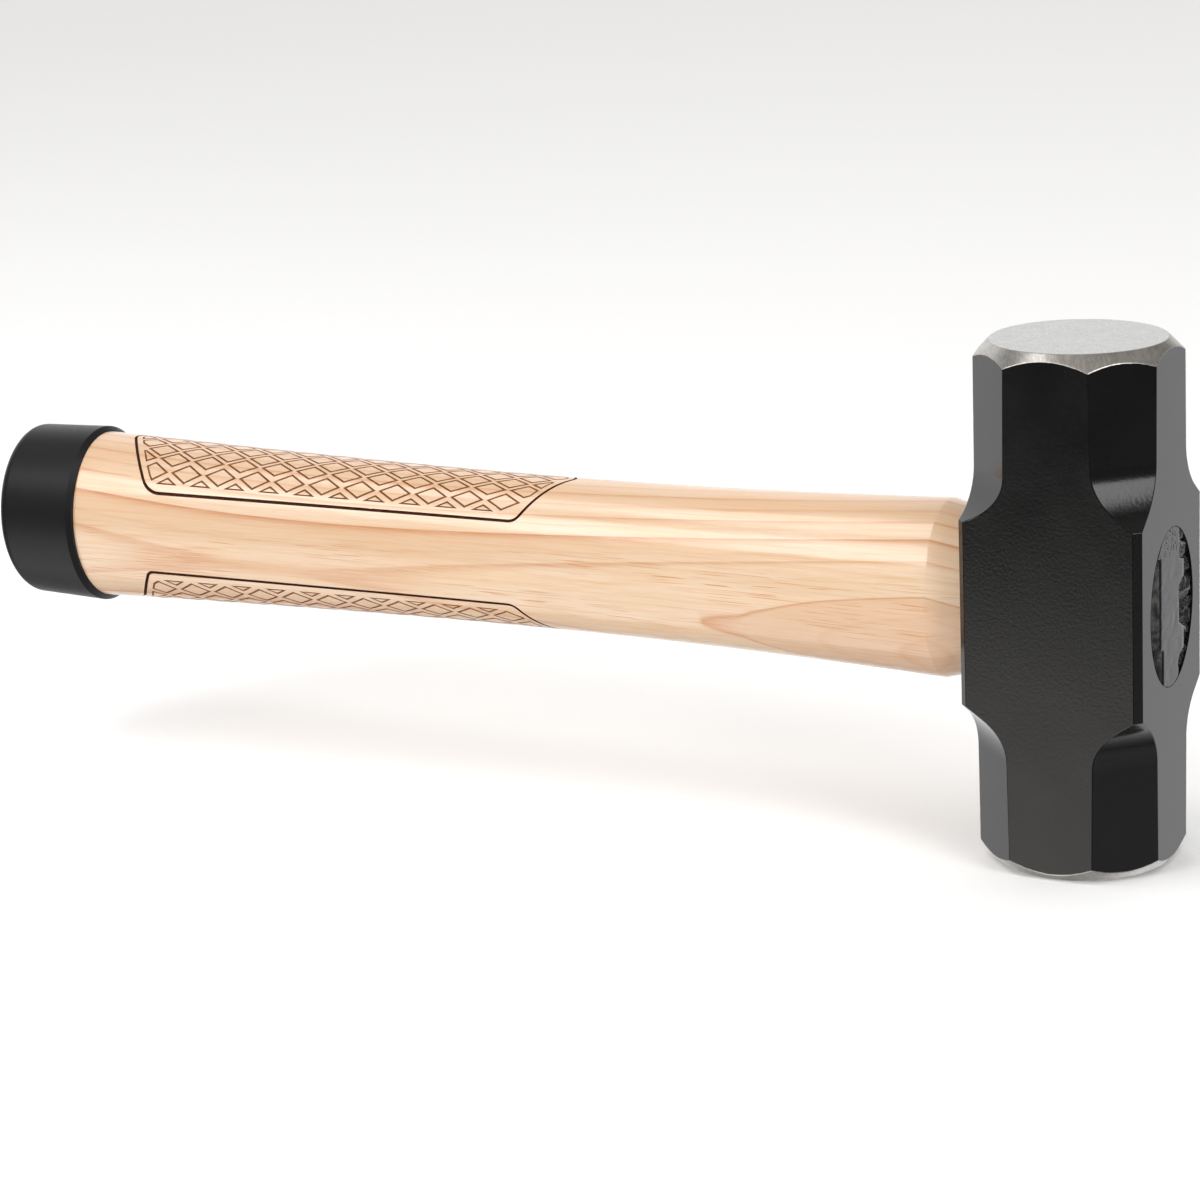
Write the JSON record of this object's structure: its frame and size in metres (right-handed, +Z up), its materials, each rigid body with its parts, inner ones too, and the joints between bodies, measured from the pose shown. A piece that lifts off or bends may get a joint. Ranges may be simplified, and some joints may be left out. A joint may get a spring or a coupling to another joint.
{
  "type": "sledgehammer",
  "caption": "Short-handled double-faced sledge hammer: forged octagonal-poll head wedged on an oval wooden handle with engraved grip panels and a rubber end cap.",
  "frame": {"origin": "centre of the lower striking face, on the head's long axis", "axes": "+Z up the head's long axis to the upper striking face; +X along the handle from the grip to the wedged end of the eye; +Y across the head from cheek to cheek"},
  "size_m": [0.3111, 0.0426, 0.12],
  "materials": {
    "forged_head": "satin black oxide and lacquer over forged steel, with bright ground striking faces and bevels",
    "lacquered_wood": "pale straight-grained ash under clear gloss lacquer, with burned grip panels",
    "wedge_wood": "sanded flush and painted satin black with the head",
    "black_lacquer": "rough pooled black lacquer",
    "cap_rubber": "smooth satin black moulded rubber"
  },
  "bodies": {
    "root": {"head": "forged_head", "handle": "lacquered_wood", "wooden_wedge": "wedge_wood", "eye_sealer": "black_lacquer", "end_cap": "cap_rubber"}
  },
  "joints": []
}
